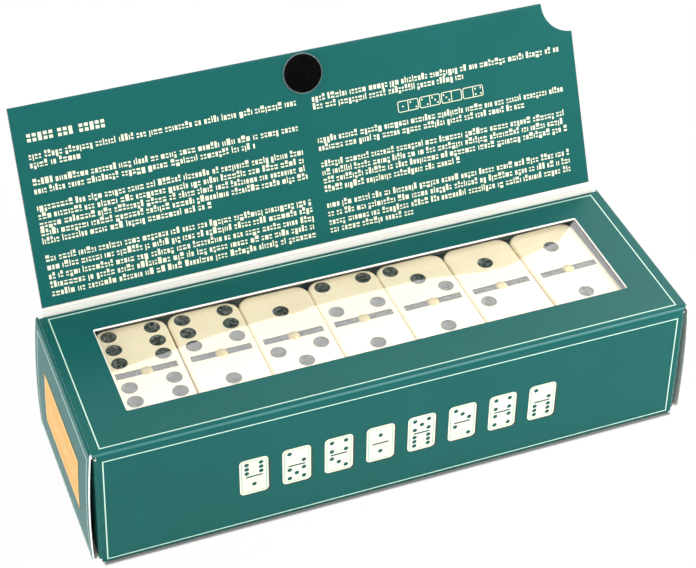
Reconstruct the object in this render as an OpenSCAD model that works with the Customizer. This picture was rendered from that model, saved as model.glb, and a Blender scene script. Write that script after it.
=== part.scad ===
// Paperboard storage box for a double-six set of dominoes.
// A folded sleeve with a film window holds a card tray with four layers of tiles.
// The cover is hinged at the back, and each end closes with a panel, a tuck tab
// and two dust flaps. Millimetres, +Z up, origin at the middle of the base.

/* [Dominoes] */
// Length of a tile
tile_l = 46; // [44:0.5:54]
// Width of a tile
tile_w = 23.8; // [21:0.1:27]
// Thickness of a tile
tile_t = 10.7; // [8:0.1:12]
// Gap between neighbours in a row
tile_gap = 0.25; // [0.1:0.05:0.5]
// Rounding along a tile's edges
tile_round = 1.2; // [0.6:0.1:1.8]
// Corner radius of a tile's face
tile_corner = 4.5; // [2:0.1:5]
// Diameter of a pip
pip_d = 5.3; // [4:0.1:5.4]
// Depth of a pip's dimple
pip_depth = 0.45; // [0.2:0.05:0.8]
// Distance of the outer pip columns from the tile's centre line
pip_x = 7.15; // [6:0.05:7.6]
// Distance between the rows of pips
pip_y = 6.5; // [5.8:0.1:7]
// Distance of each half's middle pip from the middle of the tile
pip_centre = 12.4; // [11.8:0.1:13]
// Length of the dividing bar
bar_l = 20; // [14:0.5:20]
// Width of the dividing bar
bar_w = 2.2; // [1.2:0.1:2.4]
// Depth of the dividing bar's groove
bar_depth = 0.35; // [0.2:0.05:0.6]
// Diameter of the spinner pin at the middle of a tile
spinner_d = 3.9; // [2.8:0.1:4.4]
// Length of the spinner pin
spinner_l = 4; // [2:0.5:6]

/* [Tray] */
// Thickness of the tray's card
card_t = 0.6; // [0.4:0.05:0.9]
// Clearance between the tiles and the tray's walls
tile_fit = 0.45; // [0.2:0.05:0.8]
// Width of the tray's shelves along the front and back
side_shelf = 8.55; // [6:0.05:11]
// Width of the tray's shelves at the two ends
end_shelf = 12.3; // [11:0.1:18]
// How far the shelves lie below the tops of the tiles
shelf_drop = 0.2; // [0.1:0.1:1]
// Height of the lip that hangs from each end shelf
lip_h = 15; // [8:1:20]
// Clearance between the tray and the glued seam behind it
tray_side_fit = 0.3; // [0.2:0.05:1]
// Clearance between the tray and the dust flaps
tray_end_fit = 0.6; // [0.4:0.05:1]

/* [Sleeve] */
// Thickness of the sleeve's board
board_t = 0.6; // [0.4:0.05:0.8]
// Outer radius of the long creases
crease_r = 1; // [0.9:0.1:1.6]
// Space between the tops of the tiles and the top panel
head_room = 1.9; // [1.5:0.1:4]
// Play between the dust flaps and the end creases of the top panel
flap_play = 0.5; // [0.4:0.05:0.8]
// Depth of the glued seam behind the top panel
seam_h = 12; // [8:1:20]

/* [Window] */
// How far the window stops short of the tiles' ends, front and back
window_lap = 3.6; // [2.5:0.1:8]
// How far the window stops short of the row of tiles at each end
window_end_lap = 0.05; // [0:0.05:4]
// Sideways offset of the window
window_x = 0.6; // [-1:0.1:1]
// Offset of the window towards the back
window_y = 1.6; // [-2:0.1:2]
// Corner radius of the window
window_r = 0.4; // [0.3:0.1:3]
// Thickness of the clear film
film_t = 0.2; // [0.1:0.05:0.4]
// How far the film runs on behind the window's edge
film_margin = 6; // [3:0.5:8]

/* [Cover] */
// Angle of the open cover behind the vertical
cover_lean = 24; // [10:1:40]
// Height of the back panel's spine above the top panel, up to the crease
spine_h = 1.9; // [1.7:0.1:3]
// How far the cover stops short of the front when it is closed
cover_short = 0.5; // [0.2:0.1:3]
// How far each side of the cover is set in from the end creases
cover_inset = 1.8; // [0.5:0.1:4]
// Bare strip between the crease and the turned-in layer
bare_strip = 2.1; // [1.2:0.1:6]
// Radius of the finger notch in the free corner
notch_r = 10.6; // [6:0.1:16]
// Diameter of the hook dot
dot_d = 12.5; // [8:0.5:14]
// Thickness of the hook dot
dot_t = 1.2; // [0.6:0.1:1.2]
// Distance of the dot's centre from the free edge
dot_edge = 7.3; // [7:0.1:12]
// Sideways offset of the dot
dot_x = -0.6; // [-2:0.1:2]
// How far the dot's clear adhesive shows around it
adhesive_rim = 0.4; // [0.2:0.1:0.6]
// Thickness of the adhesive
adhesive_t = 0.15; // [0.1:0.05:0.2]

/* [Ends] */
// How far the lower fold of an end panel stands out from its upper crease
end_stand = 2.8; // [2.2:0.1:4]
// How far an end panel bows out between its folds
end_bow = 1.3; // [1:0.1:2.5]
// How far an end panel is set in from the front and the back
end_side_gap = 0.3; // [0.2:0.1:1.5]
// Length of the tuck tabs
tab_len = 12; // [8:0.5:13]
// How far each end of a tuck tab is cut back at its tip
tab_taper = 6; // [3:0.5:10]
// How far each end of a tuck tab is cut back halfway to its tip
tab_shoulder = 1.5; // [0.5:0.1:3]
// Clearance under the tuck tabs
tab_lift = 0.6; // [0.5:0.05:1]
// Length of the dust flaps
flap_len = 26; // [18:0.5:30]
// Drop of a dust flap's upper edge for each millimetre of its length
flap_slope = 0.66; // [0.64:0.01:0.8]
// Rise of a dust flap's lower edge at its tip
flap_rise = 2.2; // [0:0.1:5]
// Clearance above and below the dust flaps
flap_gap = 0.6; // [0.4:0.1:1]
// Gap between a crease's axis and the boards that it joins
crease_gap = 0.35; // [0.3:0.01:0.4]
// Width of the label on the left end
label_w = 41.6; // [30:0.2:50]
// Height of the label
label_h = 20; // [16:0.5:24]
// Height of the label's middle above the base
label_z = 23.8; // [18:0.2:26]
// Thickness of the label
label_t = 0.12; // [0.08:0.02:0.2]

/* [Hidden] */
// Places in the set, layer by layer from the top: [back half, front half]
domino_set = [
    [6, 6], [6, 1], [1, 5], [4, 1], [3, 1], [1, 2], [1, 1],
    [0, 0], [0, 1], [0, 2], [0, 3], [0, 4], [0, 5], [0, 6],
    [2, 2], [2, 3], [2, 4], [2, 5], [2, 6], [3, 3], [3, 4],
    [3, 5], [3, 6], [4, 4], [4, 5], [4, 6], [5, 5], [5, 6]
];
columns = 7;
layers = len(domino_set) / columns;

// Row of tiles and the tray around it
pitch = tile_w + tile_gap;
row_w = columns * pitch - tile_gap;
stack_h = layers * tile_t;
well_x = row_w / 2 + tile_fit;
well_y = tile_l / 2 + tile_fit;
tray_x = well_x + end_shelf;
tray_y = well_y + side_shelf;

// Sleeve around the tray: half sizes of the inside and the outside
inner_y = tray_y + tray_side_fit + board_t;
half_d = inner_y + board_t;
flap_x = tray_x + tray_end_fit;
crease_x = flap_x + board_t / 2;
half_w = flap_x + board_t + flap_play;
tiles_z = board_t + card_t;
tiles_top = tiles_z + stack_h;
box_h = tiles_top + head_room + board_t;
crease_y = half_d - board_t / 2;
crease_in = crease_r - board_t;
seam_y = inner_y - board_t;

// Distance from a crease's axis to the middle of each rounded board edge
knuckle = crease_gap + board_t / 2;

// Window
window_w = row_w - 2 * window_end_lap;
window_d = tile_l - 2 * window_lap;

// Cover
cover_z = box_h + spine_h;
cover_w = 2 * (half_w - cover_inset);
cover_len = crease_y + half_d - cover_short;
liner_t = board_t;

// End panels: an arc of board from the upper crease to the lower fold
end_x = half_w - board_t / 2;
end_z = box_h - board_t / 2;
fold_x = end_x + end_stand;
fold_z = board_t + tab_lift + board_t / 2;
chord = norm([fold_x - end_x, end_z - fold_z]);
arc_r = (chord * chord / 4 + end_bow * end_bow) / (2 * end_bow);
chord_tilt = atan2(end_stand, end_z - fold_z);
arc_half = asin(chord / 2 / arc_r);
arc_cx = (end_x + fold_x) / 2 - (arc_r - end_bow) * cos(chord_tilt);
arc_cz = (end_z + fold_z) / 2 - (arc_r - end_bow) * sin(chord_tilt);
knuckle_turn = knuckle / arc_r * 180 / PI;
end_half_d = half_d - end_side_gap;
// Facets of a full circle as wide as the arc
arc_facets = 360;
// Glue line behind the label
label_lift = 0.01;

// Dust flaps
flap_low = fold_z + board_t / 2 + flap_gap;
flap_high = box_h - crease_r - flap_gap;

// Reach of each cut past the face that it opens
overcut = 1;

// Colours
board_colour = "#1d6a5f";
raw_colour = "#d8d6cc";
card_colour = "#1b1b1d";

function domino_name(i) = str("domino_", domino_set[i][0], "_", domino_set[i][1]);

$fn = 48;

// Quarter of a ring along X: the inside centre at the origin, open towards -Y and +Z
module crease(length) {
    rotate([90, 0, 90])
        translate([0, 0, -length / 2])
            linear_extrude(length)
                intersection() {
                    difference() {
                        circle(r = crease_r);
                        circle(r = crease_in);
                    }
                    translate([-2 * crease_r, 0])
                        square(2 * crease_r);
                }
}

// Rectangle with round corners, centred
module rounded_rect(x, y, r) {
    square([x - 2 * r, y], center = true);
    square([x, y - 2 * r], center = true);
    for (sx = [-1, 1], sy = [-1, 1])
        translate([sx * (x / 2 - r), sy * (y / 2 - r)])
            circle(r = r);
}

// Wall that stands on the sleeve's end creases: both ends are rounded for the flaps
module wall(z0, z1) {
    edge_x = crease_x - knuckle;
    translate([-edge_x, -board_t / 2, z0])
        cube([2 * edge_x, board_t, z1 - z0]);
    for (s = [-1, 1])
        translate([s * edge_x, 0, z0])
            cylinder(d = board_t, h = z1 - z0);
}

module bottom_panel() {
    color(board_colour) {
        translate([-crease_x, crease_r - half_d, 0])
            cube([2 * crease_x, 2 * (half_d - crease_r), board_t]);
        for (s = [0, 180])
            rotate([0, 0, s])
                translate([0, crease_r - half_d, crease_r])
                    mirror([0, 0, 1])
                        crease(2 * crease_x);
    }
}

module front_panel() {
    color(board_colour)
        translate([0, -crease_y, 0])
            wall(crease_r, box_h - crease_r);
}

module back_panel() {
    spine_top = cover_z - knuckle;
    color(board_colour)
        translate([0, crease_y, 0]) {
            wall(crease_r, box_h - crease_r);
            translate([knuckle - crease_x, -board_t / 2, box_h - crease_r])
                cube([2 * (crease_x - knuckle), board_t, spine_top - box_h + crease_r]);
            translate([knuckle - crease_x, 0, spine_top])
                rotate([0, 90, 0])
                    cylinder(d = board_t, h = 2 * (crease_x - knuckle));
        }
}

module top_panel() {
    top_x = end_x - knuckle;
    color(board_colour) {
        difference() {
            union() {
                translate([-top_x, crease_r - half_d, box_h - board_t])
                    cube([2 * top_x, half_d + inner_y - 2 * crease_r, board_t]);
                for (s = [-1, 1])
                    translate([s * top_x, crease_r - half_d, end_z])
                        rotate([-90, 0, 0])
                            cylinder(d = board_t, h = half_d + inner_y - 2 * crease_r);
            }
            translate([window_x, window_y, box_h - board_t - overcut])
                linear_extrude(board_t + 2 * overcut)
                    rounded_rect(window_w, window_d, window_r);
        }
        translate([0, crease_r - half_d, box_h - crease_r])
            crease(2 * crease_x);
        translate([0, inner_y - crease_r, box_h - crease_r])
            rotate([0, 0, 180])
                crease(2 * crease_x);
    }
}

module glue_seam() {
    color(raw_colour)
        translate([-tray_x, seam_y, box_h - crease_r - seam_h])
            cube([2 * tray_x, board_t, seam_h]);
}

module window_film() {
    color("#cfe3e6", 0.35)
        translate([window_x, window_y, box_h - board_t - film_t])
            linear_extrude(film_t)
                square([window_w + 2 * film_margin, window_d + 2 * film_margin], center = true);
}

module tray_floor() {
    color(card_colour)
        translate([-well_x - card_t, -tray_y, board_t])
            cube([2 * (well_x + card_t), 2 * tray_y, card_t]);
}

// Hollow long wall: inner wall, shelf and outer wall, folded from one strip
module tray_long_wall() {
    shelf_z = tiles_top - shelf_drop;
    color(card_colour)
        translate([-well_x - card_t, 0, tiles_z]) {
            translate([0, well_y, 0])
                cube([2 * (well_x + card_t), card_t, shelf_z - tiles_z]);
            translate([0, well_y, shelf_z - tiles_z - card_t])
                cube([2 * (well_x + card_t), tray_y - well_y, card_t]);
            translate([0, tray_y - card_t, 0])
                cube([2 * (well_x + card_t), card_t, shelf_z - tiles_z]);
        }
}

// End wall with its shelf and hanging lip, at the +X end; it stands between the long walls
module tray_end_shelf() {
    shelf_z = tiles_top - shelf_drop;
    color(card_colour) {
        translate([well_x, -well_y, tiles_z])
            cube([card_t, 2 * well_y, shelf_z - tiles_z]);
        translate([well_x + card_t, -tray_y, shelf_z - card_t])
            cube([tray_x - well_x - card_t, 2 * tray_y, card_t]);
        translate([tray_x - card_t, -tray_y, shelf_z - lip_h])
            cube([card_t, 2 * tray_y, lip_h]);
    }
}

// Pips of one half, centred on the half; n from 0 to 6
module pips(n) {
    corner_pips = n > 3 ? [[-1, -1], [-1, 1], [1, -1], [1, 1]] : n > 1 ? [[-1, 1], [1, -1]] : [];
    middle_pip = n % 2 == 1 ? [[0, 0]] : [];
    side_pips = n == 6 ? [[-1, 0], [1, 0]] : [];
    for (p = concat(corner_pips, middle_pip, side_pips))
        translate([p[0] * pip_x, p[1] * pip_y, -pip_depth])
            cylinder(d = pip_d, h = pip_depth + overcut);
}

// Tile with its face up and its base at z = 0; back and front are the numbers of pips
module domino(back, front) {
    difference() {
        intersection() {
            linear_extrude(tile_t)
                rounded_rect(tile_w, tile_l, tile_corner);
            translate([0, tile_l / 2, tile_t / 2])
                rotate([90, 0, 0])
                    linear_extrude(tile_l)
                        rounded_rect(tile_w, tile_t, tile_round);
            translate([-tile_w / 2, 0, tile_t / 2])
                rotate([90, 0, 90])
                    linear_extrude(tile_w)
                        rounded_rect(tile_l, tile_t, tile_round);
        }
        translate([0, pip_centre, tile_t])
            pips(back);
        translate([0, -pip_centre, tile_t])
            pips(front);
        translate([-bar_l / 2, -bar_w / 2, tile_t - bar_depth])
            cube([bar_l, bar_w, bar_depth + overcut]);
        translate([0, 0, tile_t - spinner_l])
            cylinder(d = spinner_d, h = spinner_l + overcut);
    }
}

// Place of tile i of the set in the tray
module in_tray(i) {
    layer = floor(i / columns);
    translate([
        (i % columns - (columns - 1) / 2) * pitch,
        0,
        tiles_top - (layer + 1) * tile_t
    ])
        children();
}

module placed_domino(i) {
    color("#f1e8c9")
        in_tray(i)
            domino(domino_set[i][0], domino_set[i][1]);
}

module spinner_pins() {
    color("#c9a655")
        for (i = [0:len(domino_set) - 1])
            in_tray(i)
                translate([0, 0, tile_t - spinner_l])
                    cylinder(d = spinner_d, h = spinner_l);
}

// Cover's own frame: x along the hinge, y away from it, z towards the inner side
module on_cover() {
    translate([0, crease_y, cover_z])
        rotate([90 - cover_lean, 0, 0])
            children();
}

// Outline of the cover from y0 to its free edge, with the finger notch
module cover_outline(y0) {
    difference() {
        translate([-cover_w / 2, y0])
            square([cover_w, cover_len - y0]);
        translate([cover_w / 2, cover_len])
            circle(r = notch_r);
    }
}

module cover_panel() {
    color(board_colour)
        on_cover() {
            translate([0, 0, -board_t / 2])
                linear_extrude(board_t)
                    cover_outline(knuckle);
            translate([-cover_w / 2, knuckle, 0])
                rotate([0, 90, 0])
                    cylinder(d = board_t, h = cover_w);
        }
}

module cover_liner() {
    color(board_colour)
        on_cover()
            translate([0, 0, board_t / 2])
                linear_extrude(liner_t)
                    cover_outline(bare_strip);
}

// Place of the dot on the turned-in layer
module on_dot() {
    on_cover()
        translate([dot_x, cover_len - dot_edge, board_t / 2 + liner_t])
            children();
}

module dot_adhesive() {
    color("#dfe8e4", 0.5)
        on_dot()
            cylinder(d = dot_d + 2 * adhesive_rim, h = adhesive_t);
}

module hook_dot() {
    color("#161416")
        on_dot()
            translate([0, 0, adhesive_t])
                cylinder(d = dot_d, h = dot_t);
}

// Band of the end panel's arc from r0 to r1, between two turns off the chord's middle
module arc_band(r0, r1, turn0, turn1) {
    reach = 2 * arc_r;
    translate([arc_cx, arc_cz])
        rotate(chord_tilt)
            intersection() {
                difference() {
                    circle(r = r1, $fn = arc_facets);
                    circle(r = r0, $fn = arc_facets);
                }
                polygon([
                    [0, 0],
                    reach * [cos(turn0), sin(turn0)],
                    reach * [cos(turn1), sin(turn1)]
                ]);
            }
}

// Flat outline in X and Z, given a width along Y
module along_y(width) {
    translate([0, width / 2, 0])
        rotate([90, 0, 0])
            linear_extrude(width)
                children();
}

// End panel at the +X end
module end_panel() {
    edge_turn = arc_half - knuckle_turn;
    along_y(2 * end_half_d) {
        arc_band(arc_r - board_t / 2, arc_r + board_t / 2, -edge_turn, edge_turn);
        translate([arc_cx, arc_cz])
            for (turn = [-edge_turn, edge_turn])
                rotate(chord_tilt + turn)
                    translate([arc_r, 0])
                        circle(d = board_t);
    }
}

// Tuck tab at the +X end, running in from the lower fold
module tuck_tab() {
    root_y = inner_y - end_side_gap;
    tip_y = root_y - tab_taper;
    root_x = fold_x - knuckle;
    tip_x = fold_x - tab_len;
    mid_x = (root_x + tip_x) / 2;
    mid_y = root_y - tab_shoulder;
    translate([0, 0, fold_z - board_t / 2])
        linear_extrude(board_t)
            polygon([
                [root_x, -root_y], [root_x, root_y], [mid_x, mid_y],
                [tip_x, tip_y], [tip_x, -tip_y], [mid_x, -mid_y]
            ]);
    translate([root_x, root_y, fold_z])
        rotate([90, 0, 0])
            cylinder(d = board_t, h = 2 * root_y);
}

// Dust flap on the front panel at the +X end
module dust_flap() {
    tip_high = flap_high - flap_slope * flap_len;
    tip_low = flap_low + flap_rise;
    translate([crease_x, -crease_y, 0]) {
        translate([0, knuckle, flap_low])
            cylinder(d = board_t, h = flap_high - flap_slope * knuckle - flap_low);
        translate([-board_t / 2, 0, 0])
            rotate([90, 0, 90])
                linear_extrude(board_t)
                    polygon([
                        [knuckle, flap_low], [flap_len, tip_low],
                        [flap_len, tip_high], [knuckle, flap_high - flap_slope * knuckle]
                    ]);
    }
}

module left_end_panel() {
    color(board_colour)
        mirror([1, 0, 0])
            end_panel();
}

module right_end_panel() {
    color(board_colour)
        end_panel();
}

module end_label() {
    face_r = arc_r + board_t / 2 + label_lift;
    half_turn = label_h / 2 / face_r * 180 / PI;
    mid_turn = asin((label_z - arc_cz) / face_r) - chord_tilt;
    color("#f5b13c")
        mirror([1, 0, 0])
            along_y(label_w)
                arc_band(face_r, face_r + label_t, mid_turn - half_turn, mid_turn + half_turn);
}

module left_tuck_tab() {
    color(board_colour)
        mirror([1, 0, 0])
            tuck_tab();
}

module right_tuck_tab() {
    color(board_colour)
        tuck_tab();
}

module left_front_flap() {
    color(board_colour)
        mirror([1, 0, 0])
            dust_flap();
}

module left_back_flap() {
    color(board_colour)
        rotate([0, 0, 180])
            dust_flap();
}

module right_front_flap() {
    color(board_colour)
        dust_flap();
}

module right_back_flap() {
    color(board_colour)
        mirror([0, 1, 0])
            dust_flap();
}

module tray_front_wall() {
    mirror([0, 1, 0])
        tray_long_wall();
}

module tray_back_wall() {
    tray_long_wall();
}

module tray_left_shelf() {
    mirror([1, 0, 0])
        tray_end_shelf();
}

module tray_right_shelf() {
    tray_end_shelf();
}

bottom_panel();
front_panel();
back_panel();
top_panel();
glue_seam();
window_film();
tray_floor();
tray_front_wall();
tray_back_wall();
tray_left_shelf();
tray_right_shelf();
for (i = [0:len(domino_set) - 1])
    placed_domino(i);
spinner_pins();
cover_panel();
cover_liner();
dot_adhesive();
hook_dot();
left_end_panel();
end_label();
left_tuck_tab();
left_front_flap();
left_back_flap();
right_end_panel();
right_tuck_tab();
right_front_flap();
right_back_flap();
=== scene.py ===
import math
import random

import bmesh
import bpy
from mathutils import Matrix, Vector


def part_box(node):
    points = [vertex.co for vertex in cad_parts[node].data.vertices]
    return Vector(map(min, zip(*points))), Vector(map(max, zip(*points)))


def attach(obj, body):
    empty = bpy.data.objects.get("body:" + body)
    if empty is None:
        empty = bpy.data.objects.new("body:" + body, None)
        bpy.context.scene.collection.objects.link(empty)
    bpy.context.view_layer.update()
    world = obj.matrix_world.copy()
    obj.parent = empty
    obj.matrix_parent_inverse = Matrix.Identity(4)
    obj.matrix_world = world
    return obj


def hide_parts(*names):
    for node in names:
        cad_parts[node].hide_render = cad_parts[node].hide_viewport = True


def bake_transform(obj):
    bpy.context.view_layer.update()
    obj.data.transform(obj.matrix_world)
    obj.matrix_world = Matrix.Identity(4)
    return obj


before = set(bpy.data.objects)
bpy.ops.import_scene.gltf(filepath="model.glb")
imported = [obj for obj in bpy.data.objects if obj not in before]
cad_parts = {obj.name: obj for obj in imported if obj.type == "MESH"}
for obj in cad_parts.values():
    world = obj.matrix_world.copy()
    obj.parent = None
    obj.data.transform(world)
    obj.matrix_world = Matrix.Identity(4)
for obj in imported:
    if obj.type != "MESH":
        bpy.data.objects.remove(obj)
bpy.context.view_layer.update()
mm = 0.001
hair, near = 0.01, 0.1  # places this close count as the same, or as neighbours, in mm
print("frame loaded:", len(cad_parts), "nodes")


# modelling helpers; places are in millimetres, as in the CAD model

def only(obj):
    bpy.ops.object.select_all(action="DESELECT")
    obj.select_set(True)
    bpy.context.view_layer.objects.active = obj


def settle(obj, name):
    only(obj)
    bpy.ops.object.transform_apply(location=True, rotation=True, scale=True)
    obj.name = obj.data.name = name
    return obj


def discard(*scraps):
    for obj in scraps:
        mesh = obj.data
        bpy.data.objects.remove(obj)
        bpy.data.meshes.remove(mesh)


def edit(obj):
    only(obj)
    bpy.ops.object.mode_set(mode="EDIT")


def editAll(obj):
    edit(obj)
    bpy.ops.mesh.select_all(action="SELECT")


def leave():
    bpy.ops.object.mode_set(mode="OBJECT")


def pick(kind, test):
    # selects what passes the test: test(middle in mm, the element)
    bpy.ops.mesh.select_mode(type=kind)
    bpy.ops.mesh.select_all(action="DESELECT")
    mesh = bpy.context.edit_object.data
    bm = bmesh.from_edit_mesh(mesh)
    for item in {"VERT": bm.verts, "EDGE": bm.edges, "FACE": bm.faces}[kind]:
        if kind == "VERT":
            middle = item.co
        else:
            middle = sum((v.co for v in item.verts), Vector()) / len(item.verts)
        if test(middle / mm, item):
            item.select_set(True)
    bm.select_flush_mode()
    bmesh.update_edit_mesh(mesh)


def bevelPicked(width, segments, affect="EDGES", **settings):
    bpy.ops.mesh.bevel(offset=width * mm, segments=segments, affect=affect, **settings)
    leave()


def useModifier(obj, kind, **settings):
    only(obj)
    modifier = obj.modifiers.new(kind.title(), kind)
    for key, value in settings.items():
        setattr(modifier, key, value)
    bpy.ops.object.modifier_apply(modifier=modifier.name)


def smooth(obj, angle=30, weighted=True):
    only(obj)
    bpy.ops.object.shade_smooth_by_angle(angle=math.radians(angle))
    if weighted:
        useModifier(obj, "WEIGHTED_NORMAL", keep_sharp=True, weight=80)


def moveVerts(obj, change):
    # change(place in mm) gives the new place in mm
    for vertex in obj.data.vertices:
        vertex.co = Vector(change(vertex.co / mm)) * mm
    obj.data.update()


def subdivideAll(obj, cuts):
    editAll(obj)
    bpy.ops.mesh.subdivide(number_cuts=cuts)
    leave()


def everywhere(c):
    return True


def aim(obj, direction, test=everywhere):
    # turns all faces, so that those which pass the test look along the direction
    obj.data.update()
    faces = [p for p in obj.data.polygons if test(p.center / mm)]
    total = sum((p.normal * p.area for p in faces), Vector())
    editAll(obj)
    if total.dot(Vector(direction)) < 0:
        bpy.ops.mesh.flip_normals()
    leave()


def strip(name, points, across, low, high):
    # a plane between the first two points, drawn on edge by edge through the others
    points = [Vector(p) * mm for p in points]
    across = Vector(across)
    along = points[1] - points[0]
    side = along.normalized()
    turn = Matrix((across, side, across.cross(side))).transposed()
    middle = across * (low + high) / 2 * mm
    bpy.ops.mesh.primitive_plane_add(size=1, location=(points[0] + points[1]) / 2 + middle,
                                     rotation=turn.to_euler())
    obj = bpy.context.object
    obj.scale = ((high - low) * mm, along.length, 1)
    settle(obj, name)
    edit(obj)
    far = (points[1] + middle) / mm
    pick("EDGE", lambda c, e: (c - far).length < 1e-3)
    for a, b in zip(points[1:], points[2:]):
        bpy.ops.mesh.extrude_edges_move(TRANSFORM_OT_translate={"value": b - a})
    leave()
    return obj


def arc(cx, cy, radius, start, end, steps):
    turns = [math.radians(start + (end - start) * i / steps) for i in range(steps + 1)]
    return [(cx + radius * math.cos(t), cy + radius * math.sin(t)) for t in turns]


def bow(a, b, c, steps=10):
    # curve from a to c that leaves and arrives along the lines to b
    a, b, c = Vector(a), Vector(b), Vector(c)
    return [a * (1 - t) ** 2 + b * 2 * t * (1 - t) + c * t * t
            for t in (i / steps for i in range(steps + 1))]


def shareOf(value):
    return min(1, max(0, value))


def inkRing(obj, u, v, low, high, width, test=everywhere, index=1):
    # a printed border line: a rectangle in the axes u and v, cut into the faces that pass the test
    edit(obj)
    for axis, a, b in ((u, low[0], high[0]), (v, low[1], high[1])):
        normal = Vector([float(axis == i) for i in range(3)])
        for value in (a, a + width, b - width, b):
            pick("FACE", lambda c, f: test(c))
            bpy.ops.mesh.bisect(plane_co=normal * value * mm, plane_no=normal)
    leave()
    for face in obj.data.polygons:
        c = face.center / mm
        inside = low[0] < c[u] < high[0] and low[1] < c[v] < high[1]
        hole = (low[0] + width < c[u] < high[0] - width
                and low[1] + width < c[v] < high[1] - width)
        if test(c) and inside and not hole:
            face.material_index = index


def block(name, low, high, bevelOf=None, width=0, segments=1):
    # a cube at its size and place, with the chosen edges bevelled
    low, high = Vector(low), Vector(high)
    bpy.ops.mesh.primitive_cube_add(size=1, location=(low + high) / 2 * mm)
    obj = bpy.context.object
    obj.scale = (high - low) * mm
    settle(obj, name)
    if bevelOf:
        edit(obj)
        pick("EDGE", bevelOf)
        bevelPicked(width, segments)
    return obj


def upright(middle, edge):
    a, b = edge.verts
    return abs(a.co.z - b.co.z) > 1e-6


def rod(name, vertices, radius, depth, z=0):
    bpy.ops.mesh.primitive_cylinder_add(vertices=vertices, radius=radius * mm, depth=depth * mm,
                                        location=(0, 0, z * mm))
    return settle(bpy.context.object, name)


def stepUp(obj, top, steps):
    # insets the top face and lifts it, step by step
    edit(obj)
    pick("FACE", lambda c, f: c.z > top - hair)
    for inset, rise in steps:
        bpy.ops.mesh.inset(thickness=inset * mm)
        bpy.ops.transform.translate(value=(0, 0, rise * mm))
    leave()


def place(x=0, y=0, z=0, sx=1, sy=1, sz=1, turn=0):
    return (Matrix.Translation(Vector((x, y, z)) * mm) @ Matrix.Rotation(math.radians(turn), 4, "Z")
            @ Matrix.Diagonal((sx, sy, sz, 1)))


def gather(name, parts):
    # one mesh from many copies: each part is (object, matrix, material index or None)
    bm = bmesh.new()
    for source, matrix, index in parts:
        copy = source.data.copy()
        copy.transform(matrix)
        if index is not None:
            copy.polygons.foreach_set("material_index", [index] * len(copy.polygons))
        bm.from_mesh(copy)
        bpy.data.meshes.remove(copy)
    mesh = bpy.data.meshes.new(name)
    bm.to_mesh(mesh)
    bm.free()
    obj = bpy.data.objects.new(name, mesh)
    bpy.context.scene.collection.objects.link(obj)
    return obj


def paint(obj, *materials):
    indices = [p.material_index for p in obj.data.polygons]
    obj.data.materials.clear()
    for item in materials:
        obj.data.materials.append(item)
    obj.data.polygons.foreach_set("material_index", indices)


def cutAway(obj, cutter):
    slots = list(obj.data.materials)
    useModifier(obj, "BOOLEAN", operation="DIFFERENCE", object=cutter, solver="EXACT",
                material_mode="TRANSFER")
    discard(cutter)
    paint(obj, *slots)  # the cut drops slots that repeat, while the faces keep their numbers


# helpers for materials

def shaderOf(made):
    return made.node_tree.nodes["Principled BSDF"]


def newMaterial(name, roughness, **settings):
    made = bpy.data.materials.new(name)
    made.use_nodes = True
    values = {"Base Color": (*finish[name], 1), "Roughness": roughness, **settings}
    for key, value in values.items():
        shaderOf(made).inputs[key].default_value = value
    return made


def addNode(made, kind, **settings):
    node = made.node_tree.nodes.new(kind)
    for key, value in settings.items():
        if key in node.inputs:
            node.inputs[key].default_value = value
        else:
            setattr(node, key, value)
    return node


def link(made, source, output, target, socket):
    made.node_tree.links.new(source.outputs[output], target.inputs[socket])


def speckle(made, scale, detail=4):
    coords = addNode(made, "ShaderNodeTexCoord")
    texture = addNode(made, "ShaderNodeTexNoise", Scale=scale, Detail=detail, Roughness=0.55)
    link(made, coords, "Object", texture, "Vector")
    return texture


def ramp(made, source, output, stops):
    node = addNode(made, "ShaderNodeValToRGB")
    band = node.color_ramp
    while len(band.elements) < len(stops):
        band.elements.new(0.5)
    for element, (at, colour) in zip(band.elements, stops):
        element.position = at
        element.color = (*colour, 1)
    link(made, source, output, node, "Fac")
    return node


def spread(made, source, output, start, end, low, high, **settings):
    # what runs from start to end comes out from low to high
    node = addNode(made, "ShaderNodeMapRange", **settings,
                   **{"From Min": start, "From Max": end, "To Min": low, "To Max": high})
    link(made, source, output, node, "Value")
    return node


def vectorStep(made, operation, source, output=0, **settings):
    node = addNode(made, "ShaderNodeVectorMath", operation=operation, **settings)
    link(made, source, output, node, 0)
    return node


def mixShaders(made, share, output, first, second):
    mix = addNode(made, "ShaderNodeMixShader")
    link(made, share, output, mix, "Fac")
    link(made, first, 0, mix, 1)
    link(made, second, 0, mix, 2)
    link(made, mix, 0, made.node_tree.nodes["Material Output"], "Surface")


noiseSpan = (0.3, 0.7)  # nearly all of the noise lies between these


def varyColour(made, coarse, fine, dark, light, share=0.35):
    # broad clouds of tone with fine speckle over them
    stops = list(zip(noiseSpan, (dark, light)))
    mix = addNode(made, "ShaderNodeMix", data_type="RGBA", Factor=share)
    for scale, detail, socket in ((coarse, 3, "A"), (fine, 2, "B")):
        link(made, ramp(made, speckle(made, scale, detail), "Fac", stops), "Color", mix, socket)
    link(made, mix, "Result", shaderOf(made), "Base Color")


def varyRoughness(made, scale, low, high):
    bands = spread(made, speckle(made, scale), "Fac", *noiseSpan, low, high)
    link(made, bands, "Result", shaderOf(made), "Roughness")


def bump(made, scale, depth):
    node = addNode(made, "ShaderNodeBump", Strength=1.0, Distance=depth * mm)
    link(made, speckle(made, scale, 3), "Fac", node, "Height")
    link(made, node, "Normal", shaderOf(made), "Normal")


def tones(colour, change):
    return [tuple(c * (1 - change) for c in colour), tuple(c * (1 + change) for c in colour)]


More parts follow.
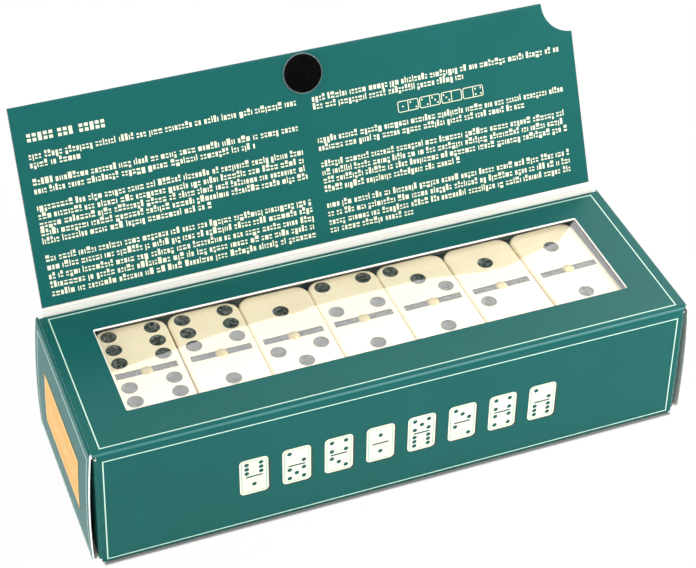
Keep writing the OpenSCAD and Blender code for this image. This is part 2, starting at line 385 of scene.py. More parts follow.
finish = {
    # board and print, and the noise scales of their clouds and speckle
    "boardGrain": (45, 1400),
    "greenPrint": (0.0022, 0.100, 0.092), "creaseHighlightPrint": (0.014, 0.140, 0.127),
    "rawBoard": (0.93, 0.885, 0.82), "cutEdge": (0.93, 0.93, 0.90),
    "shadeDarkEdge": (0.008, 0.040, 0.034), "creaseShadeLine": (0.72, 0.62, 0.62),
    "shadeBlackCard": (0.012, 0.012, 0.013),
    # inks
    "paleInk": (0.56, 0.80, 0.66), "textInk": (0.82, 0.82, 0.62), "creamInk": (0.90, 0.85, 0.68),
    "mintInk": (0.28, 0.55, 0.42), "shadowInk": (0.003, 0.052, 0.042),
    "labelOrange": (0.70, 0.37, 0.085), "labelPale": (0.80, 0.60, 0.27),
    # tiles
    "ivory": (0.97, 0.84, 0.58), "pipPaint": (0.010, 0.010, 0.012), "brass": (0.55, 0.42, 0.17),
    "pipGlints": [(0.38, (0.002, 0.003, 0.002)), (0.68, (0.14, 0.15, 0.13))],
    # hook dot
    "hookPile": (0.002, 0.002, 0.002), "pile": [(0.001, 0.001, 0.001), (0.005, 0.004, 0.0045)],
    "clearAdhesive": (0.85, 0.92, 0.90),
}


def boardMaterial(name, roughness, change, **settings):
    made = newMaterial(name, roughness, **settings)
    varyColour(made, *finish["boardGrain"], *tones(finish[name], change))
    return made


greenPrint = boardMaterial("greenPrint", 0.38, 0.06, **{"Specular IOR Level": 0.2})
varyRoughness(greenPrint, 500, 0.34, 0.42)
bump(greenPrint, 900, 0.012)
# painted highlight: a paler green laid along the middle of the front crease
creaseHighlightPrint = boardMaterial("creaseHighlightPrint", 0.34, 0.08)
rawBoard = boardMaterial("rawBoard", 0.85, 0.04)
bump(rawBoard, 1600, 0.03)
cutEdge = boardMaterial("cutEdge", 0.9, 0.06)
bump(cutEdge, 2500, 0.05)
# painted shade: the cover's cut edges, white board, are painted dark green
shadeDarkEdge = boardMaterial("shadeDarkEdge", 0.7, 0.2, **{"Specular IOR Level": 0.1})
# painted shade for the pressed line of the cover's hinge
creaseShadeLine = boardMaterial("creaseShadeLine", 0.8, 0.06)
# painted shade: black card for the tray inside the box
shadeBlackCard = boardMaterial("shadeBlackCard", 0.7, 0.2)
bump(shadeBlackCard, 1800, 0.03)
paleInk = boardMaterial("paleInk", 0.4, 0.05)
textInk = boardMaterial("textInk", 0.4, 0.05)
creamInk = boardMaterial("creamInk", 0.4, 0.03)
mintInk = boardMaterial("mintInk", 0.4, 0.05)
shadowInk = boardMaterial("shadowInk", 0.4, 0.1)
labelOrange = boardMaterial("labelOrange", 0.5, 0.05)
labelPale = boardMaterial("labelPale", 0.5, 0.04)

ivory = newMaterial("ivory", 0.22, **{
    "Coat Weight": 0.2, "Coat Roughness": 0.1, "Subsurface Weight": 0.12,
    "Subsurface Scale": 0.002, "Subsurface Radius": (1, 0.8, 0.5)})
varyColour(ivory, 60, 700, *tones(finish["ivory"], 0.04))
varyRoughness(ivory, 300, 0.18, 0.28)
pipPaint = newMaterial("pipPaint", 0.25, **{"Specular IOR Level": 0.25})
# painted highlights: light specks in the pips' colour stand in for glints in their glossy hollows
pipGlints = ramp(pipPaint, speckle(pipPaint, 1000, 2), "Fac", finish["pipGlints"])
link(pipPaint, pipGlints, "Color", shaderOf(pipPaint), "Base Color")
varyRoughness(pipPaint, 1500, 0.15, 0.4)
bump(pipPaint, 1500, 0.05)
brass = newMaterial("brass", 0.45, Metallic=1.0)
varyRoughness(brass, 1200, 0.35, 0.55)
bump(brass, 2200, 0.02)
hookPile = newMaterial("hookPile", 0.5, **{"Specular IOR Level": 0.03})
varyColour(hookPile, 800, 3000, *finish["pile"], 0.5)
clearAdhesive = newMaterial("clearAdhesive", 0.15, Alpha=0.2)
print("materials made")

# a sheet's slots: print and its lines, back, cut edges, line pressed into a crease, painted darker
# as the shade of its groove
boardSheet = (greenPrint, paleInk, rawBoard, rawBoard, cutEdge, cutEdge, creaseShadeLine)
# on the cover the cut edges get painted shade, a dark green, in place of the white board
coverSheet = (greenPrint, paleInk, rawBoard, rawBoard, shadeDarkEdge, shadeDarkEdge)


def makeBoard(obj, thickness=0.6, offset=0, sheet=boardSheet):
    paint(obj, *sheet)
    useModifier(obj, "SOLIDIFY", thickness=thickness * mm, offset=offset, use_even_offset=True,
                material_offset=2, material_offset_rim=4)


def finishFold(fold, direction, thickness=0.6):
    aim(fold, direction)
    makeBoard(fold, thickness)
    smooth(fold, 40, False)


swellSize = {"left": 1.5, "right": 1.0, "height": 46.0, "from": -32.6, "to": -14.0}


def swell(p):
    # the folded-in flaps push the front panel's ends outwards, more towards the bottom
    s = swellSize
    share = shareOf((p.y - s["to"]) / (s["from"] - s["to"]))
    share = share * share * (3 - 2 * share) * shareOf(1 - p.z / s["height"])
    push = -s["left"] if p.x < 0 else s["right"]
    return p.x + push * share, p.y, p.z


# sleeve: one sheet of board round the tray, with its glued seam

sleeveSize = {
    "front": -33.46, "back": 33.5, "top": 46.5, "spine": 47.8, "seam": 32.88, "seamLow": 33.5,
    "crease": 1.0, "frontCrease": 1.9, "corner": (98.5, 33.5),
    # half lengths of the seam, creases, top, walls and spine
    "halfSeam": 96.8, "halfCrease": 97.6, "halfTop": 98.4, "halfWall": 97.2, "halfSpine": 97.05,
    # depth of the slot beside the end panel, and how far the crease stands out below it
    "slot": 0.75, "slotStep": 0.2,
    "line": 0.39, "topInset": (2.95, 2.6), "frontInset": (3.1, 3.55, 1.7), "printSkew": -0.0034,
    "flatHalf": 90, "window": (168.0, 38.8), "windowAt": (0.6, 1.6), "windowCorner": 0.4,
    "cutterHalf": 1.5, "crushed": 0.25, "highlightTurn": 15, "steps": (8, 14),
}


def buildSleeve():
    s = sleeveSize
    r, soft = s["crease"], s["frontCrease"]
    top, front, back = s["top"], s["front"], s["back"]
    steps, softSteps = s["steps"]
    path = [(s["seam"], s["seamLow"])]
    path += arc(s["seam"] - r, top - r, r, 0, 90, steps)
    path += arc(front + soft, top - soft, soft, 90, 180, softSteps)
    path += arc(front + r, r, r, 180, 270, steps)
    path += arc(back - r, r, r, 270, 360, steps)
    path += [(back, top - r), (back, s["spine"])]
    sleeve = strip("sleeve", [(0, y, z) for y, z in path], (1, 0, 0), -s["halfTop"], s["halfTop"])

    def endOf(p):
        before = p.y < back - near
        if p.y < front + hair and r - hair < p.z < top - soft + hair:
            half = s["halfWall"]
        elif p.y < front + soft - hair and top - soft < p.z < top - hair:
            # the front crease keeps the top's width down to the slot beside the end panel
            half = s["halfTop"] if p.z > top - s["slot"] else s["halfWall"] + s["slotStep"]
        elif before and p.y > s["seam"] - hair and p.z < top - r + hair:
            half = s["halfSeam"]
        elif before and (p.z > top - hair or p.z > top - r + hair and p.y > s["seam"] - 2 * r):
            half = s["halfTop"]
        elif p.z > top - r + hair and p.y > back - hair:
            half = s["halfSpine"]
        elif r - hair < p.z < top - r + hair:
            half = s["halfWall"]
        else:
            half = s["halfCrease"]
        return math.copysign(half, p.x), p.y, p.z

    moveVerts(sleeve, endOf)
    aim(sleeve, (0, 0, 1), lambda c: c.z > top - hair)
    w = s["line"]
    endX, endY = s["corner"]
    insetX, insetY = s["topInset"]
    inkRing(sleeve, 0, 1, (-endX + insetX - w / 2, -endY + insetY - w / 2),
            (endX - insetX + w / 2, endY - insetY + w / 2), w, lambda c: c.z > top - hair)
    side, high, low = s["frontInset"]
    for wall in (lambda c: c.y < front + hair, lambda c: c.y > back - hair and c.z < top - r):
        inkRing(sleeve, 0, 2, (-endX + side - w / 2, low - w / 2),
                (endX - side + w / 2, top - high + w / 2), w, wall)

    def setFront(p):
        # the front's ends bulge outwards, and its print sits a little askew
        if p.y > front + hair or not r - hair < p.z < top - soft + hair:
            return p
        if abs(p.z - (top - high)) < w:
            p = Vector((p.x, p.y, p.z + s["printSkew"] * p.x))
        return swell(p) if abs(p.x) > s["flatHalf"] else p

    moveVerts(sleeve, setFront)
    makeBoard(sleeve, offset=-1)

    # painted highlight: the print is painted paler along the middle of the front crease, where the
    # front lamp's gloss falls
    sleeve.data.materials.append(creaseHighlightPrint)
    for face in sleeve.data.polygons:
        y, z = front + soft - face.center.y / mm, face.center.z / mm - top + soft
        turned = abs(math.degrees(math.atan2(z, y)) - 45)
        if abs(math.hypot(y, z) - soft) < near and turned < s["highlightTurn"]:
            face.material_index = len(sleeve.data.materials) - 1

    (wx, wy), (cx, cy) = s["window"], s["windowAt"]
    cutter = block("windowCutter", (cx - wx / 2, cy - wy / 2, top - s["cutterHalf"]),
                   (cx + wx / 2, cy + wy / 2, top + s["cutterHalf"]), upright, s["windowCorner"], 6)
    paint(cutter, cutEdge)
    cutAway(sleeve, cutter)

    def windowRim(middle, edge):
        inside = abs(middle.x - cx) < wx / 2 + near and abs(middle.y - cy) < wy / 2 + near
        return inside and all(abs(v.co.z - top * mm) < 1e-6 for v in edge.verts)

    # the cut's upper corner is a little crushed and shows the white board
    edit(sleeve)
    pick("EDGE", windowRim)
    bevelPicked(s["crushed"], 1, material=boardSheet.index(cutEdge))
    smooth(sleeve)
    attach(sleeve, "box")
    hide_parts("bottom_panel", "front_panel", "back_panel", "top_panel", "glue_seam")


buildSleeve()
print("sleeve made")


# cover: outer board, turned in at the free edge to make the liner

coverSize = {
    "hinge": (33.2, 48.4), "lean": 24.0, "length": 66.0, "half": 96.2, "shift": -0.6, "taper": 0.9,
    "board": 0.6, "thinner": 0.012, "start": 0.6, "linerInset": 0.05, "bareStrip": 2.1,
    "bareLeft": 1.25, "notch": 10.6, "notchAt": (95.3, 65.7), "pressedLine": 0.13,
    "notchDepth": 10, "turnSteps": 12, "dotAt": (-0.6, 58.9), "dotRadius": 6.25, "adhesive": 0.15,
}
lean = math.radians(coverSize["lean"])
coverUp = Vector((0, math.sin(lean), math.cos(lean)))
coverOut = Vector((0, -math.cos(lean), math.sin(lean)))  # from the liner towards the front
coverHinge = Vector((0, *coverSize["hinge"]))
onCover = Matrix((Vector((1, 0, 0)), coverUp, coverOut)).transposed().to_4x4()
onCover.translation = coverHinge * mm  # takes a place on the flat cover to its real place


def coverPoint(x, up, out):
    return coverHinge + Vector((x, 0, 0)) + coverUp * up + coverOut * out


def coverFlat(p):
    p = Vector(p) - coverHinge
    return p.x, p.dot(coverUp), p.dot(coverOut)


def buildCover():
    s = coverSize
    t = s["board"]
    path = [(s["start"], -t / 2)] + arc(s["length"] - t, t / 2, t, -90, 90, s["turnSteps"])
    path.append((s["bareStrip"], 1.5 * t))
    cover = strip("coverBoard", [coverPoint(0, u, o) for u, o in path], (1, 0, 0),
                  -s["half"], s["half"])

    def sideOf(p):
        x, up, out = coverFlat(p)
        half = s["half"] - s["taper"] * up / s["length"]
        if out > t / 2 + hair:
            half -= s["linerInset"]
        if x < 0 and out > t and up < s["length"] / 2:
            up += s["bareLeft"] - s["bareStrip"]
        return coverPoint(s["shift"] + math.copysign(half, x), up, out)

    moveVerts(cover, sideOf)
    aim(cover, -coverOut, lambda c: coverFlat(c)[2] < 0)
    makeBoard(cover, t - s["thinner"], -1, coverSheet)
    cutter = rod("notchCutter", 64, s["notch"], s["notchDepth"])
    cutter.data.transform(onCover @ place(*s["notchAt"]))
    # the notch's cut faces get the same painted shade
    paint(cutter, shadeDarkEdge)
    cutAway(cover, cutter)
    smooth(cover)
    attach(cover, "cover")
    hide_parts("cover_panel", "cover_liner")


def buildCoverCrease():
    s = coverSize
    reach = s["start"]
    mid = bow(coverHinge - Vector((0, 0, reach)), coverHinge, coverHinge + coverUp * reach)
    fold = strip("coverCrease", mid, (1, 0, 0), -s["half"], s["half"])

    def widen(p):
        share = shareOf((coverHinge.z + reach - p.z) / (2 * reach))
        half = s["half"] + (sleeveSize["halfSpine"] - s["half"]) * share
        return s["shift"] * (1 - share) + math.copysign(half, p.x), p.y, p.z

    moveVerts(fold, widen)
    finishFold(fold, (0, 1, 0))
    # painted shade: the pressed line inside the hinge is painted a darker pinkish grey for the
    # shade of a groove that isn't modelled
    for face in fold.data.polygons:
        if face.normal.y < -0.5 and abs(face.center.z / mm - coverHinge.z) < s["pressedLine"]:
            face.material_index = boardSheet.index(creaseShadeLine)
    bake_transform(fold)


buildCover()
buildCoverCrease()
print("cover made")


# ends: bowed panels with tuck tabs below and dust flaps inside

endSize = {
    "crease": (99.0, 46.2), "fold": (101.2, 1.5), "bow": 0.8, "half": 33.2, "reach": 0.6,
    "steps": 18, "topHalf": (-32.3, 33.3), "bead": 0.45, "board": 0.48, "line": (2.4, 3.0, 43.3),
    # the tuck tab's half width at each distance from its fold
    "tab": [(-0.65, 32.3), (-3.0, 30.0), (-6.5, 28.4), (-10.5, 27.0), (-12.0, 25.2)],
    "tabRound": (1.6, 5),
}


def endArc():
    # centre and radius of the arc that the right end panel's middle follows, in x and z
    (x0, z0), (x1, z1) = endSize["crease"], endSize["fold"]
    chord = math.hypot(x1 - x0, z1 - z0)
    radius = (chord * chord / 4 + endSize["bow"] ** 2) / (2 * endSize["bow"])
    tilt = math.atan2(x1 - x0, z0 - z1)
    cx = (x0 + x1) / 2 - (radius - endSize["bow"]) * math.cos(tilt)
    cz = (z0 + z1) / 2 - (radius - endSize["bow"]) * math.sin(tilt)
    return cx, cz, radius


arcX, arcZ, arcRadius = endArc()
topZ = endSize["crease"][1] - endSize["reach"]
lowZ = endSize["fold"][1] + endSize["reach"]


def onArc(z, lift=0):
    # place on the arc near a height, with the surface lifted outwards
    turn = math.asin((z - arcZ) / arcRadius)
    return arcX + (arcRadius + lift) * math.cos(turn), arcZ + (arcRadius + lift) * math.sin(turn)


def endStrip(name, side, z0, z1, lift, steps, low, high):
    path = [onArc(z0 + (z1 - z0) * i / steps, lift) for i in range(steps + 1)]
    return strip(name, [(side * x, 0, z) for x, z in path], (0, 1, 0), low, high)


def buildEndPanel(side, name):
    s = endSize
    body = name + "_end"
    panel = endStrip(name + "EndBoard", side, topZ, lowZ, 0, s["steps"], -s["half"], s["half"])
    aim(panel, (side, 0, 0))
    inset, low, high = s["line"]
    inkRing(panel, 1, 2, (-s["half"] + inset, low), (s["half"] - inset, high),
            sleeveSize["line"])
    makeBoard(panel, s["board"])
    smooth(panel)
    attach(panel, body)
    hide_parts(body + "_panel")


def buildEndCrease(side, name):
    s = endSize
    body, reach = name + "_end", s["reach"]
    hinge = Vector((side * s["crease"][0], 0, s["crease"][1]))
    x, z = onArc(topZ)
    mid = bow((side * (s["crease"][0] - reach), 0, hinge.z), hinge, (side * x, 0, z))
    fold = strip(name + "EndCrease", mid, (0, 1, 0), -s["half"], s["half"])
    low, high = s["topHalf"]

    def taper(p):
        share = shareOf((p.z - topZ) / reach) ** 3
        edge = (high if p.y > 0 else -low) * share + s["half"] * (1 - share)
        return p.x, math.copysign(edge, p.y), p.z

    moveVerts(fold, taper)
    aim(fold, (side, 0, 1))
    makeBoard(fold, s["board"])
    inward = Vector((-side, 0, -1)).normalized()
    bend = (mid[0] + mid[-1]) / 2

    def bead(p):
        # the crease squeezes the board thicker on the inside
        away = (p - bend).dot(inward)
        along = abs((p - bend).dot(Vector((-side, 0, 1)).normalized()))
        if away < 2 * hair:
            return p
        return p + inward * s["bead"] * max(0, 1 - (along / reach) ** 2)

    moveVerts(fold, bead)
    smooth(fold, 40, False)
    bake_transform(fold)


def buildTab(side, name):
    s = endSize
    root = Vector((side * s["fold"][0], 0, s["fold"][1]))
    x, z = onArc(lowZ)
    start, rootHalf = s["tab"][0]
    mid = bow((side * x, 0, z), root, root + Vector((side * start, 0, 0)))
    fold = strip(name + "TabCrease", mid, (0, 1, 0), -s["half"], s["half"])

    def narrow(p):
        share = shareOf((p.z - root.z) / (lowZ - root.z))
        return p.x, math.copysign(rootHalf + (s["half"] - rootHalf) * share, p.y), p.z

    moveVerts(fold, narrow)
    finishFold(fold, (side, 0, -1), s["board"])
    body, tabBody = name + "_end", name + "_tab"
    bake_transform(fold)

    path = [root + Vector((side * dx, 0, 0)) for dx, half in s["tab"]]
    tab = strip(name + "TuckTab", path, (0, 1, 0), -s["half"], s["half"])
    halves = [(abs(root.x + side * dx), half) for dx, half in s["tab"]]

    def cutBack(p):
        half = min(halves, key=lambda item: abs(item[0] - abs(p.x)))[1]
        return p.x, math.copysign(half, p.y), p.z

    moveVerts(tab, cutBack)
    aim(tab, (0, 0, -1))
    tip = min(out for out, half in halves)
    edit(tab)
    pick("VERT", lambda c, v: abs(abs(c.x) - tip) < hair)
    bevelPicked(*s["tabRound"], "VERTICES")
    makeBoard(tab, s["board"])
    smooth(tab)
    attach(tab, tabBody)
    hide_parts(name + "_tuck_tab")


flapSize = {"at": (97.7, 33.2), "root": 0.65, "tip": 7.2, "low": (2.4, 4.6), "high": (44.5, 27.8),
            "steps": 6, "round": (2.4, 5)}


def buildFlap(side, back, end, wall):
    s = flapSize
    x, hingeY = side * s["at"][0], back * s["at"][1]
    root, tip = hingeY - back * s["root"], back * s["tip"]
    title, name = end + wall.title(), f"{end}_{wall}"
    body = f"{name}_dust_flap"
    (low0, low1), (high0, high1) = s["low"], s["high"]
    path = [(x, root + (tip - root) * i / s["steps"], 0) for i in range(s["steps"] + 1)]
    flap = strip(title + "Flap", path, (0, 0, 1), low0, high0)

    def slope(p):
        share = (p.y - root) / (tip - root)
        if p.z < (low0 + high0) / 2:
            return p.x, p.y, low0 + (low1 - low0) * max(0, (share - 0.5) * 2)
        return p.x, p.y, high0 + (high1 - high0) * share

    moveVerts(flap, slope)
    moveVerts(flap, swell)
    aim(flap, (side, 0, 0))
    edit(flap)
    pick("VERT", lambda c, v: abs(c.y - tip) < hair)
    bevelPicked(*s["round"], "VERTICES")
    makeBoard(flap)
    smooth(flap)
    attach(flap, body)
    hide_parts(f"{name}_flap")

    mid = bow((side * sleeveSize["halfWall"], hingeY, 0), (x, hingeY, 0), (x, root, 0))
    fold = strip(title + "FlapCrease", mid, (0, 0, 1), low0, high0)
    subdivideAll(fold, 3)
    moveVerts(fold, swell)
    finishFold(fold, (side, back, 0))
    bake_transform(fold)


for side, name in ((-1, "left"), (1, "right")):
    buildEndPanel(side, name)
    buildEndCrease(side, name)
    buildTab(side, name)
    buildFlap(side, -1, name, "front")
    buildFlap(side, 1, name, "back")
print("ends made")


# label on the left end: a frame with three small rectangles

labelSize = {"y": (-21.2, 20.5), "z": (13.8, 33.8), "thick": 0.12, "steps": 12,
             "frame": (0.5, 0.6), "motif": (8.6, 4.6), "motifStep": 10.4,
             "motifAt": (-0.4, 23.6), "motifLine": 0.5}


def buildLabel():
    s = labelSize
    (left, right), (low, high) = s["y"], s["z"]
    lift = (endSize["board"] + s["thick"]) / 2 + hair
    label = endStrip("endLabel", -1, high, low, lift, s["steps"], left, right)
    aim(label, (-1, 0, 0))
    edge, band = s["frame"]
    inkRing(label, 1, 2, (left + edge, low + edge), (right - edge, high - edge), band)
    width, height = s["motif"]
    middle, level = s["motifAt"]
    for step in (-1, 0, 1):
        at = middle + step * s["motifStep"]
        inkRing(label, 1, 2, (at - width / 2, level - height / 2),
                (at + width / 2, level + height / 2), s["motifLine"], index=2)
    paint(label, labelOrange, labelPale, labelPale)
    useModifier(label, "SOLIDIFY", thickness=s["thick"] * mm, offset=0)
    smooth(label)
    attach(label, "left_end")
    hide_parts("end_label")


buildLabel()
print("label made")


# dominoes: one body, with the pips, bar and pin bore cut into each copy

tileSize = {
    "size": (23.85, 46.0, 10.7), "corner": 4.5, "cornerSteps": 10, "edge": 1.1,
    "edgeSteps": 5, "half": 12.4,
    "pipRadius": 2.65, "pipDepth": 0.55, "pipTop": 0.25, "pipStep": (7.15, 6.5),
    "bar": (20.0, 2.75, 0.35), "pin": 1.95, "bore": 0.9, "pinPlay": 0.03,
    "pinSteps": ((0.12, 0.08), (0.45, 0.09), (0.55, 0.05)),
    # how the top row lies: aside, back and turned, for each tile
    "lie": {"6_6": (-0.16, -0.06, -0.1), "6_1": (0.09, -0.16, 0.1), "1_5": (0, -0.2, 0.2),
            "4_1": (-0.1, 0, 0.55), "3_1": (-0.15, -0.1, 1.0), "1_2": (-0.08, -0.1, 1.1),
            "1_1": (0.38, 0.1, 2.1)},
}
above = 0.3  # how far the cutters stand out of the tile


def tileBody():
    s = tileSize
    width, length, thick = s["size"]
    body = block("tileBody", (-width / 2, -length / 2, -thick), (width / 2, length / 2, 0),
                 upright, s["corner"], s["cornerSteps"])
    edit(body)
    pick("EDGE", lambda c, e: not upright(c, e) and (c.z > -hair or c.z < hair - thick))
    bevelPicked(s["edge"], s["edgeSteps"])
    paint(body, ivory, pipPaint)
    return body


def pipCutter():
    # the low cap of a ball that is as wide as a pip where it meets the tile
    depth, r = tileSize["pipDepth"], tileSize["pipRadius"]
    ball = (r * r + depth * depth) / (2 * depth)
    bpy.ops.mesh.primitive_uv_sphere_add(segments=24, ring_count=48, radius=ball * mm,
                                         location=(0, 0, (ball - depth) * mm))
    cutter = settle(bpy.context.object, "pipCutter")
    editAll(cutter)
    bpy.ops.mesh.bisect(plane_co=(0, 0, tileSize["pipTop"] * mm), plane_no=(0, 0, 1),
                        clear_outer=True, use_fill=True)
    leave()
    return cutter


def barCutter():
    s = tileSize
    length, width, depth = s["bar"]
    bar = block("barCutter", (-length / 2, -width / 2, -depth), (length / 2, width / 2, above))
    bore = rod("boreCutter", 24, s["pin"], s["bore"] + above, (above - s["bore"]) / 2)
    useModifier(bar, "BOOLEAN", operation="UNION", object=bore, solver="EXACT")
    discard(bore)
    return bar


def pinHead():
    s = tileSize
    pin = rod("pinHead", 24, s["pin"] - s["pinPlay"], s["bore"], -s["bore"] / 2)
    stepUp(pin, 0, s["pinSteps"])
    smooth(pin, 50, False)
    return pin


def pipPlaces(count):
    spots = [(0, 0)] if count % 2 else []
    if count > 1:
        spots += [(-1, 1), (1, -1)]
    if count > 3:
        spots += [(-1, -1), (1, 1)]
    if count == 6:
        spots += [(-1, 0), (1, 0)]
    return spots


def buildTiles():
    s = tileSize
    stepX, stepY = s["pipStep"]
    body, pip, bar, pin = tileBody(), pipCutter(), barCutter(), pinHead()
    pins = []
    for node in sorted(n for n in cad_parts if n.startswith("domino_")):
        low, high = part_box(node)
        x, y, z = (low.x + high.x) / 2 / mm, (low.y + high.y) / 2 / mm, high.z / mm
        back, front = (int(n) for n in node.split("_")[1:])
        cuts = [(bar, place(), None)]
        for count, middle in ((back, s["half"]), (front, -s["half"])):
            cuts += [(pip, place(px * stepX, middle + py * stepY), None)
                     for px, py in pipPlaces(count)]
        cutter = gather("tileCutter", cuts)
        paint(cutter, pipPaint)
        tile = body.copy()
        tile.data = body.data.copy()
        bpy.context.scene.collection.objects.link(tile)
        tile.name = tile.data.name = f"tile_{back}_{front}"
        cutAway(tile, cutter)
        smooth(tile, 24)
        aside, behind, turn = s["lie"].get(f"{back}_{front}", (0, 0, 0))
        lies = place(x + aside, y + behind, z, turn=turn)
        tile.data.transform(lies)
        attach(tile, "box")
        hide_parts(node)
        pins.append((pin, lies, 0))
    heads = gather("spinnerPins", pins)
    paint(heads, brass)
    smooth(heads, 50, False)
    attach(heads, "box")
    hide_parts("spinner_pins")
    discard(body, pip, bar, pin)


buildTiles()
print("dominoes made")


# window film: clear, with a faint gloss, and pulled a little out of flat

filmSize = {
    "cuts": 12, "sag": 0.02, "thick": 0.12, "gloss": (0.02, 0.12), "roughness": 0.03, "pull": 0.1,
    # along the window: place, lean to the back, lean aside
    "pullAt": ((-85, 0.37, 0), (-45, 0.68, 0), (-14, 0.80, 0), (23, 0.83, 0), (45, 0.65, 0),
               (60, 0.61, 0.2), (72, 0.62, 0.65), (85, 0.61, 0.75)),
}


def filmMaterial():
    s = filmSize
    made = bpy.data.materials.new("clearFilm")
    made.use_nodes = True
    made.node_tree.nodes.remove(shaderOf(made))
    clear = addNode(made, "ShaderNodeBsdfTransparent")
    gloss = addNode(made, "ShaderNodeBsdfAnisotropic", Roughness=s["roughness"])
    facing = addNode(made, "ShaderNodeLayerWeight", Blend=0.5)
    share = spread(made, facing, "Facing", 0, 1, *s["gloss"])
    first, last = s["pullAt"][0][0], s["pullAt"][-1][0]
    stops = [((x - first) / (last - first), (aside, back, 0)) for x, back, aside in s["pullAt"]]
    split = addNode(made, "ShaderNodeSeparateXYZ")
    link(made, addNode(made, "ShaderNodeTexCoord"), "Object", split, 0)
    along = spread(made, split, "X", first * mm, last * mm, 0, 1)
    pull = ramp(made, along, "Result", stops)
    leaning = vectorStep(made, "SCALE", pull, "Color", Scale=-s["pull"])
    tilt = vectorStep(made, "ADD", addNode(made, "ShaderNodeNewGeometry"), "Normal")
    link(made, leaning, 0, tilt, 1)
    link(made, vectorStep(made, "NORMALIZE", tilt), 0, gloss, "Normal")
    mixShaders(made, share, "Result", clear, gloss)
    return made


def buildFilm():
    low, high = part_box("window_film")
    size = high - low
    bpy.ops.mesh.primitive_plane_add(size=1, location=(low + high) / 2)
    film = bpy.context.object
    film.scale = (size.x, size.y, 1)
    settle(film, "windowFilm")
    subdivideAll(film, filmSize["cuts"])
    middle = film.data.vertices[0].co.z / mm

    def sink(p):
        # the film hangs a hair lower between its glued borders
        across = (p.x * mm - low.x) / size.x, (p.y * mm - low.y) / size.y
        drop = math.prod(math.sin(math.pi * t) for t in across)
        return p.x, p.y, middle - filmSize["sag"] * drop

    moveVerts(film, sink)
    useModifier(film, "SOLIDIFY", thickness=filmSize["thick"] * mm, offset=0)
    smooth(film, 30, False)
    paint(film, filmMaterial())
    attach(film, "box")
    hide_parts("window_film")


buildFilm()
print("film made")


# hook dot on the liner

hookSize = {
    "base": 0.55, "rim": ((0.15, 0.05),), "margin": 0.3, "pitch": 0.52, "stray": 0.24,
    "width": 0.13, "height": 0.6, "straight": 0.45, "shortest": 0.7,
    # each part of the hook's bend: aside in mm, and up as a share of the height
    "bends": ((0.05, 0.26), (0.12, 0.16), (0.14, 0.0), (0.07, -0.12)),
}


def hookShape():
    s = hookSize
    w, h = s["width"], s["height"]
    stem = h * s["straight"]
    hook = block("hook", (-w / 2, -w / 2, 0), (w / 2, w / 2, stem))
    edit(hook)
    pick("FACE", lambda c, f: c.z > stem - hair)
    for dx, dz in s["bends"]:
        bpy.ops.mesh.extrude_region_move(
            TRANSFORM_OT_translate={"value": (dx * mm, 0, dz * h * mm)})
    leave()
    return hook


def buildDot():
    s = hookSize
    cx, cy = coverSize["dotAt"]
    floorAt = 1.5 * coverSize["board"] + coverSize["adhesive"]
    base = rod("hookDotBase", 64, coverSize["dotRadius"], s["base"])
    stepUp(base, s["base"] / 2, s["rim"])
    hook = hookShape()
    draw = random.Random(11)
    parts = [(base, place(cx, cy, floorAt + s["base"] / 2), 0)]
    reach = coverSize["dotRadius"] - s["margin"]
    count = int(reach / s["pitch"]) + 1
    for i in range(-count, count + 1):
        for j in range(-count, count + 1):
            x = i * s["pitch"] + draw.uniform(-s["stray"], s["stray"])
            y = j * s["pitch"] + draw.uniform(-s["stray"], s["stray"])
            turn = draw.uniform(0, 360)
            tall = draw.uniform(s["shortest"], 1.0)
            if math.hypot(x, y) < reach:
                spot = place(cx + x, cy + y, floorAt + s["base"], sz=tall, turn=turn)
                parts.append((hook, spot, 0))
    dot = gather("hookDot", parts)
    dot.data.transform(onCover)
    paint(dot, hookPile)
    smooth(dot, 40, False)
    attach(dot, "cover")
    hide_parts("hook_dot")
    discard(base, hook)


buildDot()
print("hook dot made")


# printing inside the cover: rows of small blocks for words, and a row of small tiles

printSize = {
    "left": (-92.8, -3.9), "right": (1.3, 89.4), "slant": 0.024, "slantFrom": 20,
    "thick": 0.025, "sunk": 0.005,
    # each row's height on the liner, and the share of the column that it fills
    "leftRows": [(49.0, 1), (46.3, 0.19), (40.7, 1), (37.9, 0.82), (32.5, 1), (29.7, 1), (27.0, 1),
                 (24.3, 1), (21.6, 0.63), (15.8, 1), (13.0, 1), (10.0, 1), (7.2, 1), (4.35, 1)],
    "rightRows": [(49.0, 1), (46.4, 0.6), (35.2, 1), (32.5, 0.84), (27.0, 1), (24.2, 1), (21.5, 1),
                  (18.6, 0.55), (13.1, 1), (10.2, 1), (7.3, 1), (4.6, 0.34)],
    # blocks of a row: how many stand together, their widths, heights, gaps and slits
    "wordLengths": (2, 3, 3, 4, 5, 5, 6, 7, 8, 9), "widths": (0.34, 0.69, 0.79, 0.86, 1.19),
    "least": 0.3, "rowEnd": 0.5, "xHeight": 1.5, "drop": 0.5, "dropShare": 0.09, "tall": 0.6,
    "plainShare": 0.78, "gap": 0.4, "space": 0.68, "spaceRange": (0.8, 1.2),
    "slit": 0.5, "slitFrom": 0.6, "slitShare": 0.6, "slitAt": (0.42, 0.5, 0.58),
    # the heading: its start, height and words, then the step, width and slit of its blocks
    "heading": (-91.9, 54.5, 2.6), "headingWords": (8.2, 5.2, 9.2), "headingSpace": 1.6,
    "capital": (1.75, 1.2, 0.5),
    # the small tiles
    "tilesAt": (45.4, 41.4), "tile": (7.4, 3.8), "tileCorner": 0.7, "tileStep": 7.75,
    "tileLine": 0.26, "pip": 0.3, "pipStep": 0.95, "pips": ((1, 2), (2, 3), (3, 0), (0, 4)),
}


